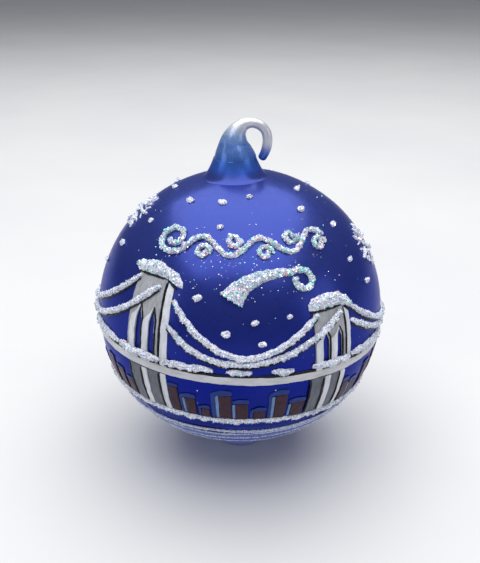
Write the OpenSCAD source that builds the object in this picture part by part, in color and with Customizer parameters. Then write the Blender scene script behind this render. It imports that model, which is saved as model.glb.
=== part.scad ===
// Hand-blown glass tree ornament, painted all round with a snowy bridge over a river.
// The ball stands on its foot: the origin is the centre of the foot's flat underside,
// +Z runs up through the neck, and the painted front looks along -Y.
// Places on the ball are [longitude, latitude] in degrees: longitude 0 is the front,
// and it grows to the right. Heights over the ball are in millimetres, outwards.

/* [Glass] */
// Width of the ball over its lacquer
ball_d = 100; // [60:1:140]
// Height of the ball as a share of its width
squash = 0.971; // [0.94:0.005:1]
// Thickness of the blown glass wall
wall = 0.9; // [0.6:0.1:2]

/* [Foot] */
// Radius where the foot meets the ball
foot_r = 13.5; // [11:0.5:16]
// Radius of the flat that the ornament stands on
foot_flat_r = 9; // [6:0.5:9.5]
// How far the foot stands below the ball
foot_h = 6.5; // [2:0.5:8]

/* [Neck and hook] */
// Radius of the neck where it spreads over the ball
neck_base_r = 11; // [9.5:0.1:13]
// Radius of the neck where the clear hook is drawn from it
neck_top_r = 7.2; // [6:0.2:8]
// How far the neck leans off the middle of the ball, to the left
neck_shift = 1.7; // [0:0.1:2]
// Thickness of the glass rod in the hook
rod_d = 3.3; // [2.5:0.1:3.8]

/* [Finish] */
// Thickness of the cobalt lacquer
lacquer_t = 0.2; // [0.1:0.05:0.3]
// Thickness of brushed enamel
enamel_t = 0.35; // [0.2:0.05:0.6]
// Height of a black liner stroke
liner_t = 0.3; // [0.2:0.05:0.5]
// Width of a black liner stroke
liner_w = 0.75; // [0.5:0.05:1.2]
// Height of the piped snow paste
snow_t = 1.1; // [0.6:0.1:1.6]
// Width of a piped rope of snow paste
rope_w = 2; // [1.4:0.1:2.6]

/* [Painted scene] */
// Latitude of the deck at the front
deck_lat = -2.9; // [-6:0.1:0]
// How far the deck dips to the right
deck_dip = 2.1; // [0:0.1:3]
// Height of the deck's white band, in degrees
deck_band = 3.1; // [2:0.1:4]
// Latitude of the snowy shore at the front
shore_lat = -25; // [-28:0.5:-23]
// Latitude above which the pale river wash stops
wash_lat = -38; // [-44:1:-37]

/* [Hidden] */

ball_r = ball_d / 2;
pole_r = ball_r * squash;
mid_z = foot_h + pole_r;
eps = 0.05;
trim_t = 0.25;
edge_t = 0.15;
// Latitudes where the lacquer stops under the neck and under the foot.
neck_hole_lat = 81;
foot_lat = -acos(foot_r / ball_r);
// Degrees of arc per millimetre on the ball.
deg_mm = 180 / PI / ball_r;
// Narrow slope, in degrees, where a wall edge stands upright.
jump = 0.15;

$fn = 72;

// ---- Places on the ball ------------------------------------------------------------

// Point at a longitude and latitude, at height t over the lacquer.
function spot(lon, lat, t) = [
    (ball_r + t) * cos(lat) * sin(lon),
    -(ball_r + t) * cos(lat) * cos(lon),
    mid_z + (pole_r + t) * sin(lat)
];

// Place that lies dx and dy millimetres to the right of and above place c.
function beside(c, dx, dy) = [c[0] + dx * deg_mm / cos(c[1]), c[1] + dy * deg_mm];

function mix(a, b, u) = a + (b - a) * u;
function backwards(list) = [for (i = [len(list) - 1:-1:0]) list[i]];

// Curve through hand-set stations, as a smooth chain with n steps between neighbours.
function blend4(a, b, c, d, u) =
    0.5 * (2 * b + (c - a) * u + (2 * a - 5 * b + 4 * c - d) * u * u
    + (3 * b - a - 3 * c + d) * u * u * u);
function smooth(st, n) = let (k = len(st) - 1) [
    for (i = [0:k - 1]) for (j = [0:n - 1])
        blend4(st[max(i - 1, 0)], st[i], st[i + 1], st[min(i + 2, k)], j / n),
    st[k]
];

// Latitudes of the painted lines, round the whole ball.
function deck_top(lon) = deck_lat - deck_dip * sin(lon);
function deck_foot(lon) = deck_top(lon) - deck_band;
function shore(lon) = shore_lat - 2.4 * sin(lon);

// ---- Solids on the ball ------------------------------------------------------------

// Skins a chain of rings, which all have the same even number of points. An end is closed
// by triangles between point j of its ring and the point as far from the other end of the list.
module loft(rings, closed = false) {
    n = len(rings);
    k = len(rings[0]);
    sides = [
        for (i = [0:closed ? n - 1 : n - 2]) for (j = [0:k - 1])
            let (a = i * k, b = (i + 1) % n * k, m = (j + 1) % k)
                each [[a + j, b + m, a + m], [a + j, b + j, b + m]]
    ];
    first_cap = [
        for (j = [0:k / 2 - 2]) each [[j, j + 1, k - 2 - j], [j, k - 2 - j, k - 1 - j]]
    ];
    last_cap = [for (t = first_cap) [for (v = backwards(t)) (n - 1) * k + v]];
    polyhedron(points = [for (r = rings) each r],
        faces = closed ? sides : concat(sides, first_cap, last_cap));
}

// Plate of paint. Each column is [longitude, lower latitude, upper latitude]; the plate
// lies at height t0 and is t thick, and crown more in its middle.
function crown_at(u) = sin(180 * u);
function column(c, t0, t, crown, rows, u) = concat(
    [for (j = [0:rows]) spot(c[0], mix(c[1], c[2], j / rows), t0 + t
        + crown * crown_at(0.08 + 0.84 * j / rows) * crown_at(0.1 + 0.8 * u))],
    [for (j = [rows:-1:0]) spot(c[0], mix(c[1], c[2], j / rows), t0)]
);
module plate(cols, t0, t, rows, crown = 0, closed = false) {
    last = len(cols) - 1;
    loft([for (i = [0:last]) column(cols[i], t0, t, crown, rows, i / last)], closed);
}

// Stroke of liner or piped paste along a path of places: w wide and t high, on ground(p).
function heading(path, i) =
    let (a = path[max(i - 1, 0)], b = path[min(i + 1, len(path) - 1)],
        d = [(b[0] - a[0]) * cos(path[i][1]), b[1] - a[1]]) d / norm(d);
function stroke_ring(p, h, w, t, t0) =
    let (l = beside(p, -h[1] * w / 2, h[0] * w / 2), r = beside(p, h[1] * w / 2, -h[0] * w / 2),
        ml = beside(p, -h[1] * w / 4, h[0] * w / 4), mr = beside(p, h[1] * w / 4, -h[0] * w / 4))
    [spot(r[0], r[1], t0), spot(mr[0], mr[1], t0 + t), spot(ml[0], ml[1], t0 + t),
        spot(l[0], l[1], t0)];
module stroke(path, w, t, ground = function (p) 0) {
    last = len(path) - 1;
    loft([for (i = [0:last])
        let (end = (i == 0 || i == last) ? 0.55 : 1)
            stroke_ring(path[i], heading(path, i), w * end, t * end, ground(path[i]))]);
}

// Ring of paste or liner right round the ball, along the latitude curve lat(lon).
module hoop(lat, w, t, n = 60) {
    loft([for (i = [0:n - 1])
        let (lon = 360 * i / n, a = lat(lon - 1), b = lat(lon + 1),
            d = [2 * cos(lat(lon)), b - a])
            stroke_ring([lon, lat(lon)], d / norm(d), w, t, 0)], closed = true);
}

// ---- Glass -------------------------------------------------------------------------

// Half outline of the ball at height t over the lacquer, from one latitude to another.
function meridian(lat0, lat1, t, n = 48) = [
    for (i = [0:n]) let (lat = mix(lat0, lat1, i / n))
        [(ball_r + t) * cos(lat), mid_z + (pole_r + t) * sin(lat)]
];

// Shell of revolution between heights t0 and t1 over the lacquer.
module ball_shell(lat0, lat1, t0, t1) {
    rotate_extrude() polygon(concat(meridian(lat0, lat1, t1), backwards(meridian(lat0, lat1, t0))));
}
module ball_solid(t) {
    rotate_extrude() polygon(meridian(-90, 90, t));
}

module glass_globe() {
    color([0.16, 0.24, 0.72, 0.5])
        ball_shell(-90 + eps, neck_hole_lat + 3, -lacquer_t - wall, -lacquer_t);
}

module lacquer_coat() {
    color([0.07, 0.10, 0.55]) ball_shell(foot_lat, neck_hole_lat, -lacquer_t, 0);
}

// Button left where the ball was sealed off; it is ground flat underneath.
module glass_foot() {
    flare = foot_r - foot_flat_r;
    foot_edge_z = mid_z + pole_r * sin(foot_lat) + eps;
    color([0.30, 0.38, 0.72]) difference() {
        rotate_extrude() polygon(concat(
            [[0, 0], [foot_flat_r - 1, 0]],
            [for (a = [-90:15:0]) [foot_flat_r - 1 + cos(a), 1 + sin(a)]],
            [for (u = [0.2:0.2:1]) [foot_flat_r + flare * pow(u, 1.7), 1 + (foot_edge_z - 1) * u]],
            [[0, foot_edge_z]]
        ));
        ball_solid(0);
    }
}

// The neck flares into the ball and is hollow up to where the clear hook begins.
neck_rise = 5.2;
neck_flare = 1.5;
neck_top_z = mid_z + pole_r + neck_rise;
neck_outline = [
    for (u = [0:0.1:1])
        [mix(neck_top_r, neck_base_r, pow(1 - u, 2.2)),
            mix(neck_top_z - neck_rise - neck_flare, neck_top_z, u)]
];
module glass_neck() {
    color([0.13, 0.20, 0.62, 0.7]) difference() {
        translate([-neck_shift, 0, 0]) rotate_extrude() polygon(concat(
            [[0, neck_top_z - 8], [neck_base_r, neck_top_z - 8]], neck_outline, [[0, neck_top_z]]
        ));
        ball_solid(0);
        translate([-neck_shift, 0, 0]) rotate_extrude() polygon([
            [0, neck_top_z - 9], [5.5, neck_top_z - 9], [5, neck_top_z - 3.6],
            [3, neck_top_z - 1.8], [0, neck_top_z - 1.2]
        ]);
    }
}

// Stations of the hook's middle line: [x, height over the neck's top, radius].
rod_r = rod_d / 2;
hook_line = [
    [-neck_shift, 0, neck_top_r],
    [-neck_shift - 0.2, 2.7, 6.05],
    [-neck_shift - 0.2, 5.2, 4.9],
    [-1.4, 7.4, 3.95],
    [-0.3, 9.5, 2.85],
    [1.5, 11.1, 2.05],
    [4, 11.6, rod_r],
    [6.6, 10.8, rod_r],
    [8.5, 8.8, rod_r],
    [9.15, 6.1, rod_r],
    [8.9, 3.5, rod_r],
    [8.2, 1.4, rod_r - 0.1],
    [7.5, 0.1, rod_r - 0.2]
];
// Ring round station s of the hook, square to its heading.
function hook_ring(st, i, sides) =
    let (a = st[max(i - 1, 0)], b = st[min(i + 1, len(st) - 1)], d = [b[0] - a[0], b[1] - a[1]],
        h = i == 0 ? [0, 1] : d / norm(d), s = st[i])
    [for (k = [0:sides - 1]) let (q = 360 * k / sides)
        [s[0] + h[1] * s[2] * cos(q), s[2] * sin(q), neck_top_z + s[1] - h[0] * s[2] * cos(q)]];
module glass_hook() {
    line = smooth(hook_line, 3);
    tip = line[len(line) - 1];
    rounded = concat(line, [[tip[0] - 0.15, tip[1] - 0.65, tip[2] * 0.86],
        [tip[0] - 0.22, tip[1] - 1.05, tip[2] * 0.5]]);
    color([0.75, 0.80, 0.90, 0.6])
        loft([for (i = [0:len(rounded) - 1]) hook_ring(rounded, i, 18)]);
}

module river_wash() {
    color([0.32, 0.42, 0.74]) ball_shell(foot_lat, wash_lat, 0, 0.12);
}

// ---- Deck --------------------------------------------------------------------------

// Longitudes [face left, face right, side right] of each tower and of its pier, latitudes
// [cornice, side's cornice, arch peak, arch spring], and the two arches of the tower.
left_tower = [[-46, -30.6, -27], [30.5, 28.2, 19, 14], [[-42, -39], [-35.5, -32.8]]];
right_tower = [[28, 42.3, 45], [18.6, 16.3, 10.8, 7.5], [[31, 34], [37.4, 40]]];
left_pier = [-45.5, -31, -28];
right_pier = [26.6, 40, 43];

function on_tower(p, t) = p[0] > t[0][0] - 0.5 && p[0] < t[0][2] + 0.5 && p[1] < t[1][0];
// Height of the paint that a stroke of paste lies on at place p.
paint_under = function (p)
    (on_tower(p, left_tower) || on_tower(p, right_tower)) ? enamel_t + trim_t : 0;
stone_under = function (p) enamel_t;

module deck_band_enamel() {
    color([0.80, 0.81, 0.82])
        plate([for (i = [0:59]) [6 * i, deck_foot(6 * i), deck_top(6 * i)]], 0, enamel_t, 1,
            closed = true);
}

module deck_liner() {
    color([0.06, 0.06, 0.08]) hoop(function (lon) deck_top(lon) + 0.6, liner_w, liner_t);
}

// Drifts on the deck as [first longitude, last longitude, width in millimetres].
drifts = [
    [-76, -51.5, 2.3], [-50.5, -30, 2.6], [-28.5, -9.5, 2.3], [-5, 4, 1.9], [11, 19.5, 2],
    [26.8, 44, 2.1], [45.5, 72, 2.2], [84, 112, 2.2], [119, 152, 2.3], [160, 203, 2.2],
    [211, 246, 2.3], [254, 276, 2.1]
];
module deck_snow() {
    color([0.86, 0.88, 0.94]) for (d = drifts) {
        n = max(3, ceil((d[1] - d[0]) / 5));
        stroke([for (i = [0:n]) let (lon = mix(d[0], d[1], i / n))
            [lon, deck_top(lon) + 1.1 + d[2] / 2 * deg_mm + 0.25 * sin(137 * i)]],
            d[2], snow_t, paint_under);
    }
}

// ---- Towers and piers --------------------------------------------------------------

// Face with two pointed arches: columns run down to the deck except over an arch.
function arch_columns(arch, t, top) = [
    [arch[0], deck_top(arch[0]), top], [arch[0] + jump, t[1][3], top],
    [(arch[0] + arch[1]) / 2, t[1][2], top],
    [arch[1] - jump, t[1][3], top], [arch[1], deck_top(arch[1]), top]
];
module tower_stone(t) {
    color([0.62, 0.63, 0.66]) plate(concat(
        [[t[0][0], deck_top(t[0][0]), t[1][0]]],
        arch_columns(t[2][0], t, t[1][0]), arch_columns(t[2][1], t, t[1][0]),
        [[t[0][1], deck_top(t[0][1]), t[1][0]]]), 0, enamel_t, 5);
}

// White leg beside each arch, which bends over to the arch's peak, and the white side face.
module tower_trim(t) {
    color([0.84, 0.85, 0.88]) {
        for (arch = t[2]) {
            a = arch[0];
            left = a - 2.8;
            mid = (arch[0] + arch[1]) / 2;
            lift = (t[1][2] - t[1][3]) * 0.65;
            plate([[left, deck_top(left), t[1][3]], [a, deck_top(a), t[1][3] + lift],
                [a + jump, t[1][3] + 0.5, t[1][3] + lift + 0.3],
                [mid, t[1][2] + 0.1, t[1][2] + 1]], enamel_t, trim_t, 3);
        }
        plate([[t[0][1] + 0.5, deck_top(t[0][1]), t[1][0] - 0.8],
            [t[0][2], deck_top(t[0][2]), t[1][1] - 0.5]], 0, enamel_t, 5);
    }
}

module tower_liner(t) {
    corner = t[0][1];
    color([0.06, 0.06, 0.08]) {
        stroke([for (u = [0:0.125:1]) [corner, mix(deck_top(corner) + 1, t[1][0] - 1, u)]],
            liner_w, liner_t, stone_under);
        stroke([for (u = [0:0.25:1]) [mix(t[0][0] - 1, corner - 1, u), t[1][0] + 0.3]],
            liner_w, liner_t, stone_under);
        stroke([[corner + 0.2, t[1][0] + 0.2], [t[0][2] - 0.5, t[1][1] + 0.4],
            [t[0][2] + 1.2, t[1][1] - 0.6]], liner_w, liner_t, stone_under);
        for (arch = t[2]) {
            b = arch[1] + 0.35;
            stroke(concat([[(arch[0] + arch[1]) / 2 + 0.3, t[1][2] + 0.9]],
                [for (u = [0:0.2:1]) [b, mix(t[1][3] + 1.2, deck_top(b) + 1, u)]]),
                liner_w, liner_t, stone_under);
        }
    }
}

// Heap of snow on a tower; each column is [longitude, lower edge, upper edge].
left_cap = [
    [-50.3, 32.2, 33.8], [-47, 31, 35], [-42, 31.2, 35.9], [-38, 31.2, 36.5], [-34, 31, 35.6],
    [-30.5, 30.9, 34.6], [-27, 29.4, 33.6], [-23.6, 28.6, 30.6]
];
right_cap = [
    [26.6, 20, 21.8], [28.5, 19.4, 23.9], [32, 19.3, 24.4], [36, 19.3, 24.6], [40, 19.2, 24],
    [43.5, 18.4, 22.6], [45.8, 17, 20.8], [47.6, 16.8, 18.4]
];
module snow_cap(cols) {
    color([0.88, 0.90, 0.95]) plate(cols, 0, edge_t, 4, snow_t + 0.3);
}

// Pier below the deck: stone, a white middle leg, a white side face and black edges.
function pier_span(lon0, lon1, n = 2) = [
    for (i = [0:n]) let (lon = mix(lon0, lon1, i / n))
        [lon, shore(lon) + 1.2, deck_foot(lon) - 0.2]
];
module pier_stone(p) {
    color([0.50, 0.52, 0.57]) plate(pier_span(p[0], p[1], 3), 0, enamel_t, 4);
}
module pier_trim(p) {
    leg = mix(p[0], p[1], 0.47);
    color([0.80, 0.81, 0.85]) {
        plate(pier_span(leg, leg + 2.6, 1), enamel_t, trim_t, 4);
        plate(pier_span(p[1] + 0.5, p[2], 1), 0, enamel_t, 4);
    }
}
module pier_liner(p) {
    color([0.06, 0.06, 0.08]) for (lon = [p[0] + 0.2, mix(p[0], p[1], 0.42), p[1]])
        stroke([for (u = [0:0.2:1]) [lon, mix(shore(lon) + 1.6, deck_foot(lon) - 0.6, u)]],
            liner_w, liner_t, stone_under);
}

// ---- Cables ------------------------------------------------------------------------

// Cable that leaves place a steeply and flattens out as it comes to place b.
function cable(a, b, power, n) = [
    for (i = [0:n]) let (u = i / n)
        [mix(a[0], b[0], u), b[1] + (a[1] - b[1]) * pow(1 - u, power)]
];
function joined(a, b) = concat(a, [for (i = [len(b) - 2:-1:0]) b[i]]);
function lowered(path, drop) = [for (p = path) [p[0], p[1] - drop]];

far_cable = joined(cable([-26, 23.6], [2, 4.9], 1.8, 11), cable([29.6, 18], [2, 4.9], 1.8, 10));
near_cable = joined(cable([-27.6, 15], [2, 2.6], 2.5, 11), cable([40, 17], [2, 2.6], 1.9, 12));
left_cables = [cable([-44, 30], [-124, 3.4], 2.7, 14), cable([-33, 28], [-90, 3.3], 2.05, 12)];
right_cables = [cable([46, 18], [124, -0.6], 3.9, 14), cable([45.6, 12], [76, 0.2], 1.75, 8)];
liner_drop = 1.75;
// Part of a cable between two longitudes; its liner stops where the ropes run together.
function stretch(path, lon0, lon1) = [for (p = path) if (p[0] >= lon0 && p[0] <= lon1) p];

module cable_snow(paths) {
    color([0.86, 0.88, 0.94]) for (path = paths) stroke(path, rope_w, snow_t, paint_under);
}
module cable_liner(paths) {
    color([0.06, 0.06, 0.08]) for (path = paths)
        stroke(lowered(path, liner_drop), liner_w, liner_t, paint_under);
}

// ---- Skyline -----------------------------------------------------------------------

// Front buildings as [left, right, top latitude, roof height, side strip's width, edge's width],
// all in degrees; the edge is roof paint that runs down beside the strip.
buildings = [
    [-64, -59, -10, 1.5, 0, 0], [-57, -52, -12.5, 1.5, 0, 0], [-50.4, -46.4, -15, 1.5, 0, 0],
    [-27.6, -23.7, -9.8, 1.6, 0, 0], [-21, -17, -14, 2.2, 1.1, 0.8],
    [-15, -11.7, -18.6, 1.8, 0, 0.9], [-7.8, -3.2, -11, 2.6, 1.2, 1.5],
    [-1.6, 3, -15, 2.2, 1.1, 0], [5.2, 9.8, -19.4, 2.2, 0, 1], [13.2, 17.9, -12, 2.8, 1.2, 1],
    [20, 25.6, -17, 2.4, 1.1, 0], [44, 47.5, -15, 2.4, 0, 0], [49.4, 54, -17, 2, 1, 0]
];
// The row of houses goes on round the back, with heights that wander.
back_count = 27;
back_first = 59;
back_step = 8.6;
function back_building(k) = let (lon = back_first + back_step * k)
    [lon, lon + 5.2 + 1.2 * sin(97 * k), -13.2 + 3.6 * sin(137 * k), 1.9 + 0.5 * sin(71 * k), 0, 0];
all_buildings = concat(buildings, [for (k = [0:back_count - 1]) back_building(k)]);
strip_gap = 0.15;
function strip_left(b) = b[0] - b[4] - strip_gap;

module skyline_walls() {
    color([0.25, 0.13, 0.20]) for (b = all_buildings)
        plate([[b[0], shore(b[0]) + 1.2, b[2]], [b[1], shore(b[1]) + 1.2, b[2]]], 0, enamel_t, 2);
}
// A roof reaches over its building's side strip, and its edge goes down to the shore.
module skyline_roofs() {
    color([0.07, 0.20, 0.55]) for (b = all_buildings) {
        inner = b[4] + b[5] > 0 ? strip_left(b) - strip_gap : b[0] - 0.6;
        outer = inner - b[5];
        plate(concat(
            b[5] > 0 ? [[outer, shore(outer) + 1.4, b[2] + b[3] * 0.3],
                [inner, shore(inner) + 1.4, b[2] + b[3] * 0.7]] : [],
            [[inner + jump, b[2], b[2] + b[3] * 0.7], [mix(b[0], b[1], 0.35), b[2], b[2] + b[3]],
                [b[1] + 0.3, b[2], b[2] + b[3] * 0.8]]
        ), 0, enamel_t, 1);
    }
}
module skyline_side_strips() {
    color([0.38, 0.52, 0.72]) for (b = buildings) if (b[4] > 0)
        plate([[strip_left(b), shore(b[0]) + 1.4, b[2] - 0.5],
            [b[0] - strip_gap, shore(b[0]) + 1.4, b[2] - 0.1]], 0, enamel_t, 2);
}

// ---- Shore, river and falling snow -------------------------------------------------

module shore_snow() {
    color([0.82, 0.84, 0.90])
        hoop(function (lon) shore(lon) + 0.25 * sin(9 * lon), rope_w - 0.2, snow_t - 0.2, 72);
}
module river_lines() {
    color([0.78, 0.81, 0.90]) {
        hoop(function (lon) -31.4 - 2.2 * cos(lon) - 0.3 * sin(5 * lon), 1.5, 0.7);
        hoop(function (lon) -35.1 - 1.4 * cos(lon) + 0.3 * sin(4 * lon), 1.1, 0.5);
        hoop(function (lon) -40 - 1.2 * cos(lon) + 0.3 * sin(3 * lon), 1, 0.5);
        hoop(function (lon) -46 - 1 * cos(lon) - 0.3 * sin(4 * lon), 0.9, 0.4);
    }
}

// Single blobs of falling snow, in front and round the back.
flakes = [
    [-62, 49], [-46, 63.5], [-15, 65.5], [10, 69], [-12, 53.5], [70, 66.5], [47.5, 58], [62, 47],
    [57, 32.5], [63, 21.5], [-16.5, 26], [-5, 14], [5.5, 18], [18.5, 19], [8, 10], [-72, 35],
    [-88, 64], [-83, 23.5],
    [110, 60], [128, 44], [106, 18], [140, 26], [152, 62], [168, 40], [176, 20], [196, 58],
    [208, 32], [222, 48], [236, 22], [248, 62], [262, 40], [124, 12], [212, 12]
];
module blob(c, w) {
    stroke([beside(c, -w * 0.6, 0.1), beside(c, -w * 0.25, -0.1), beside(c, w * 0.25, 0.1),
        beside(c, w * 0.6, 0)], w, snow_t - 0.3);
}
module falling_snow() {
    color([0.88, 0.90, 0.95]) for (i = [0:len(flakes) - 1]) blob(flakes[i], 2 + 0.4 * sin(77 * i));
}

// Six-armed snowflake of radius r, each arm with two barbs.
module snowflake(c, r, turn) {
    color([0.88, 0.90, 0.95]) {
        blob(c, 1.6);
        for (k = [0:5]) {
            a = turn + 60 * k;
            arm = function (d, side) beside(c, d * cos(a) - side * sin(a), d * sin(a) + side * cos(a));
            stroke([arm(0.27 * r, 0), arm(0.6 * r, 0), arm(r, 0)], 1.4, snow_t);
            for (s = [-1, 1]) stroke([arm(0.52 * r, s * 0.95), arm(0.78 * r, s * 2.6)], 1, snow_t - 0.3);
        }
    }
}

// ---- Scrollwork --------------------------------------------------------------------

// Curl that winds inwards from radius r0 to r1 about place c.
function curl(c, r0, r1, from, turns, way, n) = [
    for (i = [0:n]) let (u = i / n, r = mix(r0, r1, u), a = from + way * 360 * turns * u)
        beside(c, r * cos(a), r * sin(a))
];
// The scroll is a vine that springs from one large curl and waves to the right.
vine_start = [-27, 45.5];
vine_wave = 30;
vine_rise = 3.4;
vine_bays = 5;
vine_w = 1.7;
function vine_at(s) = vine_start + [s, vine_rise * sin(360 * s / vine_wave)];
function bay_middle(k) = vine_start + [vine_wave * (0.25 + k / 2), 0];

// Each bay of the wave holds a small curl that springs from the vine's far side.
bay_curl_r = 2.5;
bay_curl_w = 1.5;
bay_shift = [0.9, 2.3];
module scroll_flourish() {
    color([0.84, 0.87, 0.94]) {
        spring = beside(vine_start, -5.5, 0.9);
        stroke(concat(
            backwards(curl(spring, 5.6, 1.5, -10, 1.4, -1, 22)),
            [for (s = [2.5:2.5:vine_bays * vine_wave / 2]) vine_at(s)]
        ), vine_w, snow_t);
        for (k = [0:vine_bays - 1]) {
            way = k % 2 == 0 ? 1 : -1;
            stroke(curl(beside(bay_middle(k), bay_shift[0], -way * bay_shift[1]),
                bay_curl_r, 0.3 * bay_curl_r, -12 * way, 1.15, way, 18), bay_curl_w, snow_t);
        }
    }
}

// Swept trail under the scroll, broad at its left end and curled into a ring at its right.
swash_line = [[-3.5, 26], [-1, 29.2], [3, 32], [8.5, 34], [15.5, 35], [22, 34.9]];
swash_w = [8.6, 1.9];
module swash_flourish() {
    trail = smooth(swash_line, 3);
    line = concat(trail, curl([26.6, 31.3], 3.3, 2.5, 75, 0.78, -1, 12));
    color([0.84, 0.87, 0.94]) loft([for (i = [0:len(line) - 1])
        let (u = min(1, i / len(trail)))
            stroke_ring(line[i], heading(line, i), mix(swash_w[0], swash_w[1], pow(u, 0.7)), snow_t, 0)]);
}

// ---- Nodes -------------------------------------------------------------------------

glass_globe();
glass_foot();
glass_neck();
glass_hook();
lacquer_coat();
river_wash();
deck_band_enamel();
deck_liner();
deck_snow();
tower_stone(left_tower);  // left_tower_stone
tower_trim(left_tower);  // left_tower_trim
tower_liner(left_tower);  // left_tower_liner
snow_cap(left_cap);  // left_tower_snow_cap
pier_stone(left_pier);  // left_pier_stone
pier_trim(left_pier);  // left_pier_trim
pier_liner(left_pier);  // left_pier_liner
tower_stone(right_tower);  // right_tower_stone
tower_trim(right_tower);  // right_tower_trim
tower_liner(right_tower);  // right_tower_liner
snow_cap(right_cap);  // right_tower_snow_cap
pier_stone(right_pier);  // right_pier_stone
pier_trim(right_pier);  // right_pier_trim
pier_liner(right_pier);  // right_pier_liner
cable_snow([far_cable]);  // far_cable_snow
cable_snow([near_cable]);  // near_cable_snow
union() {  // main_cable_liner
    cable_liner([stretch(far_cable, -30, -8), backwards(stretch(far_cable, 12, 30)), near_cable]);
}
cable_snow(left_cables);  // left_side_cable_snow
cable_snow(right_cables);  // right_side_cable_snow
union() {  // side_cable_liner
    cable_liner([stretch(left_cables[0], -78, -44), left_cables[1],
        stretch(right_cables[0], 46, 66), right_cables[1]]);
}
skyline_walls();
skyline_roofs();
skyline_side_strips();
shore_snow();
river_lines();
falling_snow();
snowflake([-86, 48], 8, 10);  // left_snowflake
snowflake([80, 32], 8, 20);  // right_snowflake
union() {  // back_snowflakes
    snowflake([150, 42], 8, 5);
    snowflake([225, 36], 8, 25);
}
scroll_flourish();
swash_flourish();
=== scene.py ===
"""Looks of a hand-blown glass ornament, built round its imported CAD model.

Every CAD node of paint or paste is rebuilt here from its own mesh: its points are taken as a
direction from the ball's middle and a height over the lacquer, made finer, and roughened by
hand-like brush or nozzle marks. The glass is skinned again from outlines like the CAD's, with
softer joints. Lengths are in metres, and places on the ball are in degrees.
"""
import math

import bpy
import numpy as np
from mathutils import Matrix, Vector, noise


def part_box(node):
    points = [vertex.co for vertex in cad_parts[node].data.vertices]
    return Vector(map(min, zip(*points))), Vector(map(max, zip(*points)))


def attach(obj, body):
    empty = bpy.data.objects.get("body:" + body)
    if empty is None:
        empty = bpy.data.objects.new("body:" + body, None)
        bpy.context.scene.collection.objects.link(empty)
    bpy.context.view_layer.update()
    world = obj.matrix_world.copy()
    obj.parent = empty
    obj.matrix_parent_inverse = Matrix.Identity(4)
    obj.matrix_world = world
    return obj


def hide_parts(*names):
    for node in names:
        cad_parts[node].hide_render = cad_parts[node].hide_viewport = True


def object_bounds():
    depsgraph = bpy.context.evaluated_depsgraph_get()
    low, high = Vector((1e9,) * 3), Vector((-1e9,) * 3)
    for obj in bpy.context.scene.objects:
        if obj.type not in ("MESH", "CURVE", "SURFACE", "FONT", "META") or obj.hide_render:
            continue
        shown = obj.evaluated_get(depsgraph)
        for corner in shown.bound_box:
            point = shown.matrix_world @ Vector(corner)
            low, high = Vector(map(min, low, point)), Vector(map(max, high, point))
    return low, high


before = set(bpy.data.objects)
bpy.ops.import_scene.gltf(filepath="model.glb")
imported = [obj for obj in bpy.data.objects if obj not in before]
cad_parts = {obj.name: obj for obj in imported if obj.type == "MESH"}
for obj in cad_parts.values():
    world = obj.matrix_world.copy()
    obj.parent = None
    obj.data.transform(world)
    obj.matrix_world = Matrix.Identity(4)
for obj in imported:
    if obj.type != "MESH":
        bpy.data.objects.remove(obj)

MM = 0.001
cad_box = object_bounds()

# ---- Places on the ball --------------------------------------------------------------------------

# Height of the ball as a share of its width, and how far the foot stands below it.
SQUASH = 0.971
FOOT_H = 6.5 * MM

lacquer_low, lacquer_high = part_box("lacquer_coat")
BALL_R = (lacquer_high.x - lacquer_low.x) / 2
POLE_R = BALL_R * SQUASH
MID_Z = FOOT_H + POLE_R
TOP_Z = MID_Z + POLE_R
MIDDLE = np.array([0, 0, MID_Z])
RADII = np.array([BALL_R, BALL_R, POLE_R])


def to_ball(points):
    """Unit directions in the ball's own round space, and heights over the lacquer."""
    q = (points - MIDDLE) / RADII
    length = np.linalg.norm(q, axis=1, keepdims=True)
    u = q / length
    return u, (length[:, 0] - 1) / (u ** 2 / RADII).sum(1)


def from_ball(u, height):
    """Points at heights over the lacquer, in unit directions of the ball's round space."""
    return MIDDLE + u * (RADII + height[:, None])


def direction(lon, lat):
    """Direction of a longitude and latitude in degrees; longitude 0 is the front, -Y."""
    lon, lat = np.radians(lon), np.radians(lat)
    return np.stack([np.cos(lat) * np.sin(lon), -np.cos(lat) * np.cos(lon),
                     np.sin(lat) + 0 * lon], -1)


def ball_z(radius):
    """Height of the ball's upper half at a distance from its axis."""
    return MID_Z + POLE_R * math.sqrt(1 - (radius / BALL_R) ** 2)


# ---- Number fields -------------------------------------------------------------------------------

def waves(points, size, seed):
    """Smooth wandering field between about -1 and 1, whose bumps are about size across."""
    rng = np.random.default_rng(seed)
    total = np.zeros(len(points))
    count = 9
    for _ in range(count):
        d = rng.normal(size=3)
        d *= rng.uniform(0.7, 1.4) / np.linalg.norm(d) * 2 * math.pi / size
        total += np.sin(points @ d + rng.uniform(0, 2 * math.pi))
    return total / math.sqrt(count)


def grains(points, size, seed):
    """Round grains: 1 at the middle of each grain and about 0 between them."""
    shift = Vector((seed, 2.3 * seed, 0.7 * seed))
    gap = [noise.voronoi(Vector(p) / size + shift)[0][0] for p in points.tolist()]
    return 1 - np.clip(np.array(gap) / 0.8, 0, 1)


# ---- Meshes --------------------------------------------------------------------------------------

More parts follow.
